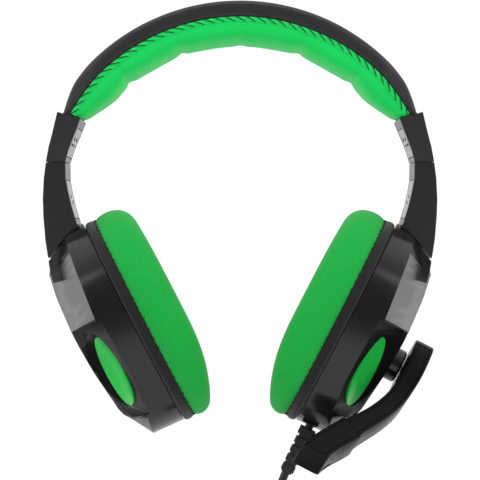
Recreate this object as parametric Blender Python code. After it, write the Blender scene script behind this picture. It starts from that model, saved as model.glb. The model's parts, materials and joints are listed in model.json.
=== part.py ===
"""Gaming headset: padded headband, two sliding arms, two tilting oval cups, a swinging
microphone boom on the +X cup, and a thin cord with its spare length coiled and tied.

Frame: metres, +Z up, -Y is the front. The origin is the middle of the underside of the
headband cushion, where the crown of a head or a stand carries the headset.
Sizes below are in millimetres, and the z values of the profiles are measured from the level
that lies CROWN below the origin.
"""
import math

import bmesh
import bpy
import numpy as np

for old in list(bpy.data.objects):
    bpy.data.objects.remove(old, do_unlink=True)

MM = 0.001

# ---------------------------------------------------------------- driving dimensions (mm)
CROWN = 84.5            # height of the origin above the profile level
ARC_Z = 11.3            # centre of the headband arc, profile level
BAND_R = 90.4           # outer radius of the headband cover
BAND_SKIN = 2.0         # thickness of the cover
SEAM_R = 83.4           # where the cover meets the cushion
CUSHION_R = 74.3        # underside of the cushion at the fattest part of each lobe
BAND_HALF_Y = 18.0      # half of the headband's width, front to back
BAND_END = 61.4         # half angle of the cover, degrees
CUSHION_END = 58.4      # half angle of the cushion, degrees
CUP_C = (-46.2, -35.2)  # x, z of the cup's seam centre, -X side
CUP_TILT = (0.458, 0.889)   # sine and cosine of the cup's lean
CUP_YAW = math.radians(3.7)
CUP_A = 38.0            # half width of the cup at its seam
CUP_B = 47.8            # half height of the cup at its seam
DISH_C = (14.0, -15.0)  # centre of the green dish on the outer face, forward and up
DISH_R = 16.3
RIDGE_U = -6.0          # the ridge of the outer face, behind the middle
HUB = (-13.0, -7.5)     # microphone hub on the +X cup
HUB_R = 7.5
BOOM_LEAN = math.radians(42.0)
SLIDE_DIR = (-0.134, -0.991)   # how the -X arm slides out, x and z
STRIP_X = -78.2         # x of the slider strip at the split between cap and arm
SPLIT_Z = 33.4
PIVOT = (-80.2, 0.6)    # hinge pin of the -X cup
CORD_R = 1.75
COIL_MEAN_R = 19.25
GAP = 0.3


# ---------------------------------------------------------------- materials
def material(name, rgb, rough, metal=0.0):
    mat = bpy.data.materials.new(name)
    mat.use_nodes = True
    bsdf = mat.node_tree.nodes["Principled BSDF"]
    bsdf.inputs["Base Color"].default_value = (*rgb, 1.0)
    bsdf.inputs["Roughness"].default_value = rough
    bsdf.inputs["Metallic"].default_value = metal
    return mat


GLOSS = dict(rgb=(0.012, 0.012, 0.012), rough=0.18)
SATIN = dict(rgb=(0.018, 0.018, 0.018), rough=0.45)
HIDE = dict(rgb=(0.015, 0.015, 0.015), rough=0.6)
GREEN_CLOTH = dict(rgb=(0.02, 0.42, 0.07), rough=0.8)
GREEN_GLOSS = dict(rgb=(0.01, 0.33, 0.05), rough=0.12)
BLACK_CLOTH = dict(rgb=(0.02, 0.02, 0.02), rough=0.9)
RUBBER = dict(rgb=(0.015, 0.015, 0.015), rough=0.55)
STEEL = dict(rgb=(0.55, 0.55, 0.56), rough=0.3, metal=1.0)
GOLD = dict(rgb=(0.9, 0.7, 0.3), rough=0.25, metal=1.0)
DARK_METAL = dict(rgb=(0.12, 0.12, 0.12), rough=0.4, metal=1.0)
FILM = dict(rgb=(0.25, 0.25, 0.24), rough=0.35)
FOAM = dict(rgb=(0.03, 0.03, 0.03), rough=0.95)


# ---------------------------------------------------------------- object helpers
def empty(name, xz, y=0.0, side=-1, parent=None):
    """A parent for one moving body, at its joint. xz is given for the -X side."""
    obj = bpy.data.objects.new(name, None)
    bpy.context.scene.collection.objects.link(obj)
    x = xz[0] if side < 0 else -xz[0]
    obj["at"] = (x, y, xz[1] - CROWN)
    at = np.array(obj["at"])
    if parent is not None:
        obj.parent = parent
        at = at - np.array(parent["at"])
    obj.location = tuple(at * MM)
    return obj


def solid(name, verts, faces, look, parent, side=-1, helper=False, smooth=40):
    """An object from points in millimetres on the profile level, mirrored for the +X side."""
    pts = np.array(verts, float).reshape(-1, 3).copy()
    if side > 0:
        pts[:, 0] *= -1
        faces = [tuple(reversed(f)) for f in faces]
    pts[:, 2] -= CROWN
    pts -= np.array(parent["at"])
    mesh = bpy.data.meshes.new(name)
    mesh.from_pydata([tuple(p) for p in pts * MM], [], [tuple(int(i) for i in f) for f in faces])
    work = bmesh.new()
    work.from_mesh(mesh)
    bmesh.ops.remove_doubles(work, verts=work.verts, dist=1e-7)
    bmesh.ops.recalc_face_normals(work, faces=work.faces)
    if work.calc_volume(signed=True) < 0:
        bmesh.ops.reverse_faces(work, faces=work.faces)
    work.to_mesh(mesh)
    work.free()
    obj = bpy.data.objects.new(name, mesh)
    bpy.context.scene.collection.objects.link(obj)
    obj.parent = parent
    mesh.shade_smooth()
    mesh.set_sharp_from_angle(angle=math.radians(smooth))
    if helper:
        obj.hide_render = True
        obj.display_type = "WIRE"
    else:
        mesh.materials.append(material(name, **look))
    return obj


def cut(obj, tool, operation="DIFFERENCE"):
    mod = obj.modifiers.new(tool.name, "BOOLEAN")
    mod.operation = operation
    mod.solver = "EXACT"
    mod.object = tool


# ---------------------------------------------------------------- shape helpers
def prism(poly, half_y):
    """A closed x-z outline pushed front to back. half_y is a number, a function of z, or (y0, y1)."""
    n = len(poly)
    verts = []
    for end in (0, 1):
        for x, z in poly:
            if isinstance(half_y, tuple):
                y = half_y[end]
            else:
                h = half_y(z) if callable(half_y) else half_y
                y = -h if end == 0 else h
            verts.append((x, y, z))
    faces = [tuple(range(n)), tuple(range(2 * n - 1, n - 1, -1))]
    for i in range(n):
        j = (i + 1) % n
        faces.append((i, j, n + j, n + i))
    return verts, faces


def loft(rings, closed_path=False):
    """Rings of equal point counts joined in order, with flat ends."""
    n = len(rings[0])
    verts = [p for ring in rings for p in ring]
    faces = []
    m = len(rings)
    for k in range(m if closed_path else m - 1):
        a, b = k * n, ((k + 1) % m) * n
        for i in range(n):
            j = (i + 1) % n
            faces.append((a + i, a + j, b + j, b + i))
    if not closed_path:
        faces.append(tuple(range(n)))
        faces.append(tuple(range(m * n - 1, (m - 1) * n - 1, -1)))
    return verts, faces


def turned(profile, place, steps=24):
    """A closed outline of (radius, height) pairs turned about an axis. place maps (x, y, h)."""
    rings = []
    for k in range(steps):
        t = 2 * math.pi * k / steps
        rings.append([place(r * math.cos(t), r * math.sin(t), h) for r, h in profile])
    return loft(rings, closed_path=True)


def plug_shape(outline, place, steps=24):
    """A solid of revolution from its side outline of (radius, height), closed on its axis."""
    verts, faces, index = [], [], []
    for r, h in outline:
        if r < 1e-6:
            index.append([len(verts)])
            verts.append(place(0.0, 0.0, h))
        else:
            index.append(list(range(len(verts), len(verts) + steps)))
            for k in range(steps):
                t = 2 * math.pi * k / steps
                verts.append(place(r * math.cos(t), r * math.sin(t), h))
    for a, b in zip(index, index[1:]):
        for k in range(steps):
            j = (k + 1) % steps
            if len(a) == 1:
                faces.append((a[0], b[j], b[k]))
            elif len(b) == 1:
                faces.append((a[k], a[j], b[0]))
            else:
                faces.append((a[k], a[j], b[j], b[k]))
    return verts, faces


# ---------------------------------------------------------------- the cup's own frame
S, C = CUP_TILT
V_AX = np.array((-S, 0.0, C))
_u = np.array((0.0, -1.0, 0.0))
_w = np.array((-C, 0.0, -S))
U_AX = _u * math.cos(CUP_YAW) - _w * math.sin(CUP_YAW)
W_AX = _w * math.cos(CUP_YAW) + _u * math.sin(CUP_YAW)
CUP_O = np.array((CUP_C[0], 0.0, CUP_C[1]))


def cup(u, v, w):
    """A point of the -X cup: u forward, v up along the cup, w outward from the pad seam."""
    return tuple(CUP_O + u * U_AX + v * V_AX + w * W_AX)


def outline(i, n, a, b, power=2.25, point=0.0):
    """Point i of n on the cup's oval, starting beside the top. point draws the bottom to a tip."""
    t = 2 * math.pi * (i + 0.5) / n
    su, cv = math.sin(t), math.cos(t)
    u = a * math.copysign(abs(su) ** (2 / power), su)
    v = b * math.copysign(abs(cv) ** (2 / power), cv)
    if v < 0 and point:
        u *= 1 - point * (-v / b) ** 2
    return u, v


def ridge_w(v):
    """Height of the outer face's ridge along the cup."""
    return float(np.interp(v, [-47, -46.8, -33.4, -10.6, 6.1, 24.0, 34.9, 40.8, 48],
                           [14.6, 14.6, 23.5, 26.2, 26.8, 25.6, 23.8, 19.6, 14.0]))


def rim_w(v):
    """Height of the edge between the cup's side wall and its outer face."""
    return float(np.interp(v, [-47, -37.6, -26.6, 8.8, 37.4, 48],
                           [14.4, 12.6, 12.2, 13.0, 10.4, 8.8]))


def roof_w(u, v):
    """The outer face: two slopes that meet along the ridge."""
    if u > RIDGE_U:
        return ridge_w(v) - 0.334 * (u - RIDGE_U)
    return ridge_w(v) - 0.45 * (RIDGE_U - u)


# ---------------------------------------------------------------- the two cups' solids
N_CUP = 64
NEAR = 0.06


def oval_ring(a, b, w, n=N_CUP, power=2.25, point=0.0):
    ring = []
    for i in range(n):
        u, v = outline(i, n, a, b, power, point)
        ring.append(cup(u, v, w(u, v) if callable(w) else w))
    return ring


def shell_outer():
    n = N_CUP
    rim = [outline(i, n, 0.985 * CUP_A, 0.985 * CUP_B, 2.25, NEAR) for i in range(n)]
    rings = [[cup(*outline(i, n, CUP_A, CUP_B), 0.2) for i in range(n)],
             [cup(u, v, rim_w(v)) for u, v in rim]]
    spine_of = [(RIDGE_U, float(np.clip(v, -40, 42)) * 0.96) for u, v in rim]
    for f in (0.5,):
        ring = []
        for (u, v), (su, sv) in zip(rim, spine_of):
            ring.append(cup(u + (su - u) * f, v + (sv - v) * f,
                            rim_w(v) + (ridge_w(sv) - rim_w(v)) * f))
        rings.append(ring)
    verts = [p for ring in rings for p in ring]
    faces = [tuple(range(n))]
    for k in range(len(rings) - 1):
        for i in range(n):
            j = (i + 1) % n
            faces.append((k * n + i, k * n + j, (k + 1) * n + j, (k + 1) * n + i))
    first = len(verts)
    half = n // 2
    for i in range(half):
        su, sv = spine_of[i]
        verts.append(cup(su, sv, ridge_w(sv)))
    last = (len(rings) - 1) * n
    spine = lambda i: first + (i if i < half else n - 1 - i)
    for i in range(n):
        j = (i + 1) % n
        a, b = spine(i), spine(j)
        faces.append((last + i, last + j, a) if a == b else (last + i, last + j, b, a))
    return verts, faces


def ceiling(u, v):
    return min(roof_w(u, v) - 3.0, 11.6 - 0.334 * (u - DISH_C[0]))


def cavity():
    a, b = CUP_A - 2.4, CUP_B - 2.4
    rings = [oval_ring(a, b, -1.0), oval_ring(a, b, 2.9), oval_ring(a, b - 4.0, 6.4)]
    for f in (0.88, 0.6, 0.25):
        rings.append(oval_ring(a * f, (b - 4.0) * f, lambda u, v: max(6.6, ceiling(u, v))))
    return loft(rings)


def face_recess():
    """Cuts the lower outer face 1.3 mm below the smooth panel above it."""
    rings = []
    for v, deep in ((7.5, 1.3), (0, 1.3), (-8, 1.3), (-16, 1.3), (-24, 1.1), (-31, 0.5),
                    (-37, -0.3)):
        rings.append([cup(u, v, w) for u, w in (
            (-5, roof_w(-5, v) + 0.2), (3, roof_w(3, v) - deep), (20, roof_w(20, v) - deep),
            (46, roof_w(46, v) - deep), (46, 40), (-5, 40))])
    return loft(rings)


def neck_boss():
    """The block under the arm: its outer side runs on from the arm, its front is canted."""
    poly = [(-73.9, 2.6), (-82.4, -8.0), (-81.9, -11.5), (-80.2, -18.5), (-74.5, -17.0),
            (-71.5, -6.0)]
    n = len(poly)
    half = [8.2 + (x + 82.2) * 0.14 for x, z in poly]
    verts = [(x, -h, z) for (x, z), h in zip(poly, half)]
    verts += [(x, h, z) for (x, z), h in zip(poly, half)]
    faces = [tuple(range(n)), tuple(range(2 * n - 1, n - 1, -1))]
    faces += [(i, (i + 1) % n, n + (i + 1) % n, n + i) for i in range(n)]
    return verts, faces


TILT = math.atan(0.27)
DISH_N = np.array((math.sin(TILT), 0.0, math.cos(TILT)))
DISH_E1 = np.array((0.0, 1.0, 0.0))
DISH_E2 = np.array((math.cos(TILT), 0.0, -math.sin(TILT)))
DISH_O = np.array((DISH_C[0], DISH_C[1], roof_w(*DISH_C) + 0.4))


def dish_place(x, y, h):
    return cup(*(DISH_O + x * DISH_E1 + y * DISH_E2 + h * DISH_N))


def cup_axis(u0, v0):
    """Turns about a line through (u0, v0) that runs outward."""
    return lambda x, y, h: cup(u0 + x, v0 + y, h)


def y_axis(x0, z0):
    return lambda x, y, h: (x0 + x, h, z0 + y)


def x_axis(x0, y0, z0):
    return lambda x, y, h: (x0 - h, y0 + x, z0 + y)


def capsule_outline(p, q, r, steps=5):
    """The outline of a bar with round ends from p to q in x-z."""
    d = np.array(q, float) - np.array(p, float)
    base = math.atan2(d[1], d[0])
    pts = []
    for centre, start in ((q, base - math.pi / 2), (p, base + math.pi / 2)):
        for k in range(steps + 1):
            t = start + math.pi * k / steps
            pts.append((centre[0] + r * math.cos(t), centre[1] + r * math.sin(t)))
    return pts


root = empty("headband_frame", (0.0, CROWN), side=-1)
root["at"] = (0.0, 0.0, 0.0)
root.location = (0, 0, 0)
PAD_W = -17.7
SCREW_V = 33.0


def arm_half_y(z):
    return 9.0 + (z - 5.0) * 0.0423


def cap_half_y(z):
    return 10.2 + (z - SPLIT_Z) * 0.1197


def strip_x(z):
    return STRIP_X + 0.1352 * (z - SPLIT_Z)


def strip_outline(z0, z1, half):
    return [(strip_x(z0) - half, z0), (strip_x(z0) + half, z0),
            (strip_x(z1) + half, z1), (strip_x(z1) - half, z1)]


CAP = [(-78.0, 54.7), (-80.3, 45.6), (-81.9, 39.9), (-83.2, SPLIT_Z + 0.15),
       (-74.8, SPLIT_Z + 0.15), (-73.5, 38.4), (-71.9, 42.5), (-70.0, 47.1), (-68.1, 51.9)]
ARM = [(-83.2, SPLIT_Z - 0.15), (-84.1, 26.6), (-84.6, 17.8), (-84.4, 10.2), (-83.6, 0.0),
       (-82.7, -6.0), (-82.3, -7.9), (-74.2, 2.1), (-69.8, 6.6), (-72.3, 14.7),
       (-73.8, 21.2), (-74.7, 26.2), (-74.8, SPLIT_Z - 0.15)]


def band_r(deg):
    """Outer radius of the cover, which tucks in towards its ends."""
    return BAND_R - 2.5 * float(np.clip((abs(deg) - 51.0) / 9.0, 0, 1)) ** 1.3


def band_y(deg):
    """Half width of the band, which narrows to enter the end caps."""
    t = float(np.clip((abs(deg) - 44.0) / 14.5, 0, 1))
    return BAND_HALF_Y - 6.6 * t * t * (3 - 2 * t)


def arc(deg, r, y):
    t = math.radians(deg)
    return (r * math.sin(t), y, ARC_Z + r * math.cos(t))


def make_side(side):
    tag = "left" if side < 0 else "right"
    arm = empty(tag + "_arm_slide", (strip_x(SPLIT_Z), SPLIT_Z), side=side, parent=root)
    ear = empty(tag + "_cup_hinge", PIVOT, side=side, parent=arm)

    def add(name, shape, look, parent, smooth=40):
        return solid(tag + "_" + name, *shape, look, parent, side, smooth=smooth)

    def tool(name, shape, parent):
        return solid(tag + "_" + name + "_tool", *shape, GLOSS, parent, side, helper=True)

    # --- end cap, fixed to the headband
    cap = add("end_cap", prism(CAP, cap_half_y), SATIN, root, 20)
    socket_rings = []
    for deg in np.linspace(48.0, 62.4, 9):
        d = -deg
        socket_rings.append([arc(d, band_r(61) + 0.35, -band_y(61) - 0.35),
                             arc(d, band_r(61) + 0.35, band_y(61) + 0.35),
                             arc(d, 81.9, band_y(61) + 0.35), arc(d, 81.9, -band_y(61) - 0.35)])
    cut(cap, tool("cap_socket", loft(socket_rings), root))
    cut(cap, tool("cap_slot", prism(strip_outline(30.0, 48.4, 0.9), 6.3), root))
    cut(cap, tool("cap_plate_seat", prism([(-60, 35.7), (-60, 48.1), (-71.5, 48.1), (-73.7, 42.5),
                                           (-75.3, 38.3), (-76.0, 35.7)], 9.1), root))
    for y in (-3.5, 3.5):
        cut(cap, tool("cap_screw_hole_%d" % (y > 0), plug_shape(
            [(0, -5), (1.15, -5), (1.15, 7.4), (0, 7.4)], x_axis(-72.0, y, 42.5), 12), root))
    plate = add("end_cap_plate", prism(
        [(-74.2, 36), (-75.7, 36), (-75.0, 38.4), (-73.4, 42.5), (-71.2, 47.8), (-69.7, 47.8),
         (-71.9, 42.5), (-73.5, 38.4)], 8.8), GLOSS, root, 20)
    for k, y in enumerate((-3.5, 3.5)):
        cut(plate, tool("plate_hole_%d" % k, plug_shape(
            [(0, -5), (2.1, -5), (2.1, 1.05), (1.15, 1.05), (1.15, 5), (0, 5)],
            x_axis(-72.0, y, 42.5), 12), root))
        add("cap_screw_%d" % (k + 1), plug_shape(
            [(0, -0.1), (1.8, -0.1), (1.8, 0.75), (0.85, 0.75), (0.85, 7.0), (0, 7.0)],
            x_axis(-72.0, y, 42.5), 10), STEEL, root)
    strip = add("slider_strip", prism(strip_outline(9.5, 48.0, 0.6), 6.0), STEEL, root, 20)
    for k, y in enumerate((-3.5, 3.5)):
        cut(strip, tool("strip_hole_%d" % k, plug_shape(
            [(0, -8), (1.25, -8), (1.25, 14), (0, 14)], x_axis(-72.0, y, 42.5), 12), root))

    # --- sliding arm
    shell = add("arm_shell", prism(ARM, arm_half_y), SATIN, arm, 20)
    cut(shell, tool("arm_slot", prism(strip_outline(9.2, 36.0, 0.9), 6.3), arm))
    cut(shell, tool("arm_cover_seat", prism([(-60, 9.3), (-60, 26.1), (-76.4, 26.1),
                                             (-75.6, 21.2), (-74.1, 14.6), (-72.7, 9.3)], 8.1), arm))
    cut(shell, tool("leaf_pocket", prism([(-78.3, 23.6), (-75.7, 23.6), (-75.7, 31.0),
                                          (-78.3, 31.0)], 3.4), arm))
    cut(shell, tool("lug_slot", prism([(-82.9, 0.6), (-82.2, 2.4), (-80.4, 3.3), (-78.2, 2.9),
                                       (-75.0, 1.1), (-72.5, -2.0), (-77.5, -9.0), (-80.2, -5.2),
                                       (-82.3, -2.2)], 3.4), arm))
    cut(shell, tool("pin_bore", plug_shape([(0, -7.8), (1.5, -7.8), (1.5, 7.8), (0, 7.8)],
                                           y_axis(*PIVOT), 16), arm))
    cut(shell, tool("arm_screw_hole", plug_shape([(0, -5), (1.15, -5), (1.15, 5.9), (0, 5.9)],
                                                 x_axis(-73.1, 0, 17.5), 12), arm))
    cover = add("arm_cover", prism([(-74.6, 25.8), (-76.1, 25.8), (-75.3, 21.2), (-73.8, 14.7),
                                    (-72.3, 9.6), (-70.8, 9.6), (-72.3, 14.7), (-73.8, 21.2)], 7.8),
                GLOSS, arm, 20)
    cut(cover, tool("arm_cover_hole", plug_shape([(0, -5), (2.1, -5), (2.1, 1.0), (1.15, 1.0),
                                                  (1.15, 5), (0, 5)], x_axis(-73.1, 0, 17.5), 12), arm))
    add("arm_screw", plug_shape([(0, -0.1), (1.8, -0.1), (1.8, 0.7), (0.85, 0.7), (0.85, 5.5),
                                 (0, 5.5)], x_axis(-73.1, 0, 17.5), 10), STEEL, arm)
    add("detent_leaf", prism([(-77.2, 30.6), (-77.9, 27.2), (-77.2, 24.0), (-76.7, 24.0),
                              (-77.4, 27.2), (-76.7, 30.6)], 3.0), STEEL, arm, 20)
    add("hinge_pin", plug_shape([(0, -7.4), (1.2, -7.4), (1.2, 7.4), (0, 7.4)],
                                y_axis(*PIVOT), 14), STEEL, arm)

    # --- cup shell
    body = add("cup_shell", shell_outer(), GLOSS, ear, 25)
    cut(body, tool("recess", face_recess(), ear))
    cut(body, tool("neck_boss", neck_boss(), ear), "UNION")
    cut(body, tool("arm_clearance", prism(
        [(-62, 13.8), (-69.48, 6.28), (-73.83, 1.81), (-81.65, -8.42), (-88.0, -16.4),
         (-110, -16.4), (-110, 32), (-62, 32)], 34.0), ear))
    cut(body, tool("cup_cavity", cavity(), ear))
    neck = (PIVOT[0] + 0.777 * 9.0, PIVOT[1] - 0.629 * 9.0)
    cut(body, tool("lug", prism(capsule_outline(PIVOT, neck, 2.3), 3.0), ear), "UNION")
    cut(body, tool("lug_bore", plug_shape([(0, -5), (1.5, -5), (1.5, 5), (0, 5)],
                                          y_axis(*PIVOT), 16), ear))
    for k, v in enumerate((-SCREW_V, SCREW_V)):
        cut(body, tool("boss_%d" % k, plug_shape([(0, 2.8), (2.8, 2.8), (2.8, 17.2), (0, 17.2)],
                                                 cup_axis(0, v), 12), ear), "UNION")
        cut(body, tool("boss_bore_%d" % k, plug_shape([(0, 1), (1.1, 1), (1.1, 9.6), (0, 9.6)],
                                                      cup_axis(0, v), 10), ear))
    if side > 0:
        cut(body, tool("hub_pad", plug_shape([(0, 14.5), (10.0, 14.5), (10.0, 21.5), (0, 21.5)],
                                             cup_axis(*HUB), 16), ear), "UNION")
        cut(body, tool("hub_seat", plug_shape([(0, 18.0), (HUB_R + 0.3, 18.0),
                                               (HUB_R + 0.3, 40), (0, 40)],
                                              cup_axis(*HUB), 24), ear))
        cut(body, tool("cord_bore", plug_shape([(0, -8), (2.8, -8), (2.8, 6), (0, 6)],
                                               relief_place, 14), ear))
    cut(body, tool("dish_bowl", plug_shape(
        [(0, 6), (24.5, 6), (20.2, 0.3), (17.0, -2.6), (DISH_R + 0.3, -2.9),
         (DISH_R + 0.3, -6.1), (0, -6.1)], dish_place, 48), ear))
    add("dish", plug_shape([(0, -5.0), (4, -4.9), (8, -4.4), (11, -3.7), (13.5, -3.0), (15.3, -2.5), (DISH_R, -2.3),
                            (DISH_R, -5.8), (0, -5.8)], dish_place, 48), GREEN_GLOSS, ear)

    # --- inside the cup
    plate = add("baffle", loft([oval_ring(CUP_A - 2.8, CUP_B - 2.8, 0.5, 28),
                                oval_ring(CUP_A - 2.8, CUP_B - 2.8, 2.3, 28)]), SATIN, ear, 30)
    cut(plate, tool("baffle_window", plug_shape([(0, -2), (17.6, -2), (17.6, 4), (0, 4)],
                                                cup_axis(0, 0), 24), ear))
    for k, v in enumerate((-SCREW_V, SCREW_V)):
        cut(plate, tool("baffle_hole_%d" % k, plug_shape(
            [(0, -2), (1.9, -2), (1.9, 1.5), (1.15, 1.5), (1.15, 4), (0, 4)],
            cup_axis(0, v), 12), ear))
        add("baffle_screw_%d" % (k + 1), plug_shape(
            [(0, 0.55), (1.6, 0.55), (1.6, 1.2), (0.8, 1.2), (0.8, 9.0), (0, 9.0)],
            cup_axis(0, v), 10), STEEL, ear)
    add("driver_frame", turned([(18.5, 2.6), (20.2, 2.6), (20.2, 4.4), (17.2, 5.4), (13.5, 7.2),
                                (9.6, 7.2), (9.6, 5.0), (18.5, 4.3)], cup_axis(0, 0), 20),
        DARK_METAL, ear)
    add("driver_diaphragm", plug_shape([(0, 4.0), (7, 3.8), (12, 3.3), (18.1, 3.4), (18.1, 2.8),
                                        (12, 2.7), (7, 3.2), (0, 3.4)], cup_axis(0, 0), 20),
        FILM, ear)
    add("driver_magnet", plug_shape([(0, 5.4), (9.2, 5.4), (9.2, 11.0), (0, 11.0)],
                                    cup_axis(0, 0), 18), STEEL, ear)

    # --- ear cushion
    base_rings = []
    pad_rings = []
    n = 32
    for i in range(n):
        base = []
        for a, b, w in ((27.2, 35.2, -6.1), (27.2, 35.2, -0.1), (38.0, 47.8, -0.1),
                        (38.9, 48.6, -3.2), (38.5, 48.2, -6.1)):
            u, v = outline(i, n, a, b)
            base.append(cup(u, v * (0.965 if v > 0 else 1.0), w))
        base_rings.append(base)
        pad = []
        for a, b, w in ((21.6, 30.6, -6.4), (20.5, 29.5, -11.0), (21.5, 30.5, -16.0),
                        (24.5, 33.5, PAD_W), (33.6, 43.6, PAD_W), (38.2, 48.2, -15.6),
                        (40.0, 49.6, -11.0), (39.2, 48.8, -6.4)):
            u, v = outline(i, n, a, b)
            pad.append(cup(u, v * (0.955 if v > 0 else 0.98), w))
        pad_rings.append(pad)
    add("pad_base", loft(base_rings, closed_path=True), BLACK_CLOTH, ear)
    add("ear_pad", loft(pad_rings, closed_path=True), GREEN_CLOTH, ear)
    add("pad_liner", loft([oval_ring(26.6, 33.2, -5.4, 24), oval_ring(26.6, 33.2, -4.0, 24)]),
        FOAM, ear, 30)
    return arm, ear


RELIEF_U, RELIEF_V, RELIEF_W = 8.0, -47.9, 6.5


def relief_place(x, y, h):
    """The strain relief's own axis: h runs down along the cup from its bottom wall."""
    return cup(RELIEF_U + x, RELIEF_V - h, RELIEF_W + y)


make_side(-1)
right_arm, right_ear = make_side(1)


# ---------------------------------------------------------------- headband
def seam(deg):
    """Radius where the cover meets the cushion."""
    return SEAM_R - 1.0 * float(np.clip((abs(deg) - 50.0) / 8.0, 0, 1))


def band_ring(deg):
    h, r = band_y(deg), band_r(deg)
    low = seam(deg) + 0.3
    return [arc(deg, rr, y) for y, rr in (
        (-h, low), (-h, r - 1.6), (-h + 1.6, r), (0, r + 0.25), (h - 1.6, r), (h, r - 1.6),
        (h, low), (h - 1.9, low), (h - 1.9, r - BAND_SKIN), (-h + 1.9, r - BAND_SKIN),
        (-h + 1.9, low))]


PINCHES = (0.0, 20.0, 40.0)


def underside(deg):
    """Radius of the cushion's underside: six lobes between sewn channels, tapered ends."""
    pinch = max(math.exp(-((abs(deg) - p) / 2.3) ** 2) for p in PINCHES)
    end = float(np.clip((abs(deg) - 50.0) / 8.4, 0, 1))
    return 73.4 + 2.6 * pinch + 5.6 * end * end


def cushion_ring(deg):
    h = band_y(deg) - 0.2
    r, top = underside(deg), seam(deg) - 0.3
    swell = 0.8 * math.exp(-((abs(deg) % 20 - 10) / 7.0) ** 2)
    mid = (top + r) / 2
    return [arc(deg, rr, y) for y, rr in (
        (-h, top), (-h - swell, mid + 0.8), (-h + 1.2, r + 2.2), (-h + 5.0, r + 0.6),
        (0, r), (h - 5.0, r + 0.6), (h - 1.2, r + 2.2), (h + swell, mid + 0.8), (h, top))]


cover_at = list(np.linspace(-BAND_END, BAND_END, 45))
solid("headband_cover", *loft([band_ring(d) for d in cover_at]), HIDE, root, smooth=40)
half_steps = [0, 1.3, 2.6, 4.6, 7.5, 10, 12.5, 15.4, 17.4, 18.7, 20, 21.3, 22.6, 24.6, 27.5, 30,
              32.5, 35.4, 37.4, 38.7, 40, 41.3, 42.6, 44.6, 47.5, 50.5, 53.5, 56, CUSHION_END]
cushion_at = [-d for d in reversed(half_steps[1:])] + half_steps
solid("headband_cushion", *loft([cushion_ring(d) for d in cushion_at]), GREEN_CLOTH, root,
      smooth=50)
solid("headband_spring", *loft([[arc(d, 84.2, -9), arc(d, 84.9, -9), arc(d, 84.9, 9),
                                 arc(d, 84.2, 9)] for d in np.linspace(-57, 57, 33)]),
      STEEL, root)


# ---------------------------------------------------------------- microphone, on the +X cup
def eased(xs, ys, x):
    """A smooth curve through the given points."""
    xs, ys = np.array(xs, float), np.array(ys, float)
    slope = np.gradient(ys, xs)
    k = int(np.clip(np.searchsorted(xs, x) - 1, 0, len(xs) - 2))
    d = xs[k + 1] - xs[k]
    t = (x - xs[k]) / d
    return float(ys[k] * (1 + 2 * t) * (1 - t) ** 2 + slope[k] * d * t * (1 - t) ** 2
                 + ys[k + 1] * t * t * (3 - 2 * t) + slope[k + 1] * d * t * t * (t - 1))


BOOM_R = [-14, 0, 11, 21, 33, 44, 52, 60, 72, 78]
BOOM_W = [35.9, 35.9, 35.6, 34.0, 29.5, 23.6, 19.4, 15.0, 10.5, 8.6]


def boom_point(r, s, n):
    """r along the boom from the hub, s across it, n outward from its mid surface."""
    w = eased(BOOM_R, BOOM_W, r)
    slope = (eased(BOOM_R, BOOM_W, r + 0.5) - eased(BOOM_R, BOOM_W, r - 0.5))
    size = math.hypot(1, slope)
    square = float(np.clip((r - 47.6) / 16.0, 0, 1))     # the head's end is cut square
    along = r - (1 - square) * n * slope / size
    out = w + n * ((1 - square) / size + square * 1.05)
    return cup(HUB[0] + along * math.sin(BOOM_LEAN) + s * math.cos(BOOM_LEAN),
               HUB[1] - along * math.cos(BOOM_LEAN) + s * math.sin(BOOM_LEAN), out)


BOOM_STATIONS = [(-10.8, 8.4, 3.7), (-10.2, 10.2, 4.3), (-7.5, 11.7, 4.4), (-4.0, 12.3, 4.4),
                 (0.0, 12.4, 4.4), (5.0, 11.6, 4.4), (10.0, 9.8, 4.3), (15.0, 8.2, 4.2),
                 (20.0, 7.4, 4.2), (26.0, 6.9, 4.2), (32.0, 6.8, 4.2), (37.0, 6.8, 4.2),
                 (42.0, 6.95, 4.4), (46.8, 7.2, 4.8), (46.85, 6.8, 4.2), (47.35, 6.8, 4.2),
                 (47.4, 8.0, 5.6), (52.0, 8.1, 5.7), (57.0, 8.1, 5.7), (62.0, 8.0, 5.7),
                 (66.4, 7.9, 5.6), (66.9, 7.4, 5.1)]


def boom_half(sign):
    rings = []
    for r, half, thick in BOOM_STATIONS:
        rings.append([boom_point(r, s, sign * n) for s, n in (
            (-half, 0.15), (-half, thick - 1.5), (-half + 0.5, thick - 0.4), (-half + 1.7, thick),
            (half - 1.7, thick), (half - 0.5, thick - 0.4), (half, thick - 1.5), (half, 0.15))])
    return loft(rings)


def boom_axis(r0, s0=0.0):
    """Turns about the mid surface's normal at r0, s0; h runs inward, towards the mouth."""
    return lambda x, y, h: boom_point_flat(r0, s0, x, y, -h)


def boom_point_flat(r0, s0, x, y, n):
    o, a = np.array(boom_point(r0, s0, 0)), np.array(boom_point(r0, s0, 1.0))
    across = np.array(boom_point(r0, s0 + 1.0, 0)) - o
    out = a - o
    along = np.cross(across, out)
    return tuple(o + x * along + y * across + n * out)


hub_at = cup(HUB[0], HUB[1], 33.0)
boom = empty("mic_swing_joint", (hub_at[0], hub_at[2]), y=hub_at[1], side=1, parent=right_ear)


def on_boom(name, shape, look, smooth=40, helper=False):
    return solid(name, *shape, look, boom, 1, helper=helper, smooth=smooth)


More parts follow.
